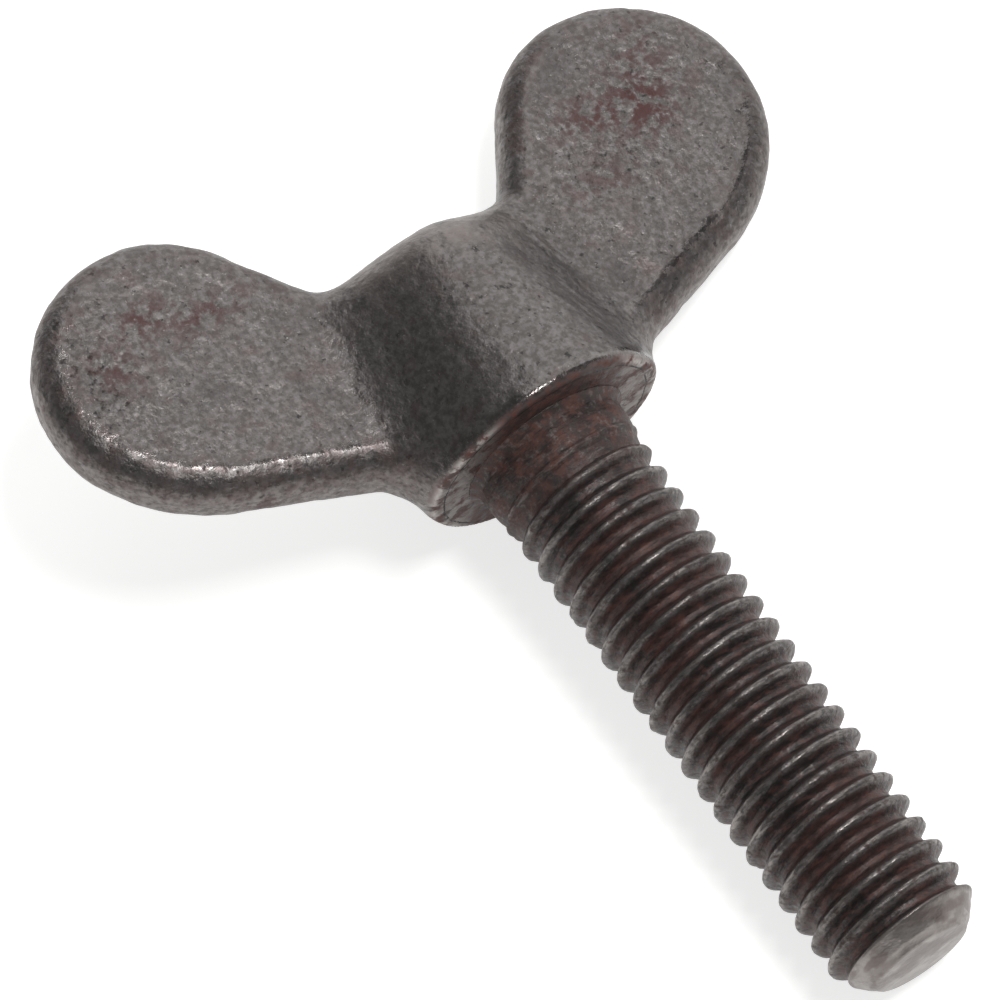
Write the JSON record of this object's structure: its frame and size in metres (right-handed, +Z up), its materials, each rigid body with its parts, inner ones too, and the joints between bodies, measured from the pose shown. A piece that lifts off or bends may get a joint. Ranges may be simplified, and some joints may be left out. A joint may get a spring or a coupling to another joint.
{
  "type": "wing screw",
  "caption": "Forged steel wing screw with two rounded wings, a conical hub with a flat seat, a short neck and a threaded shank with a bevelled end.",
  "frame": {"origin": "on the surface it lies on, under the centre of its bounding box", "axes": "+X from the head towards the tip, +Y towards the wing that touches the surface, +Z up. The screw lies as it comes to rest, on the hub's lower rim, the end of the thread and one wing's lobe."},
  "size_m": [0.038, 0.0294, 0.011],
  "materials": {
    "forged_steel": "satin"
  },
  "bodies": {
    "root": {"wing_screw": "forged_steel"}
  },
  "joints": []
}
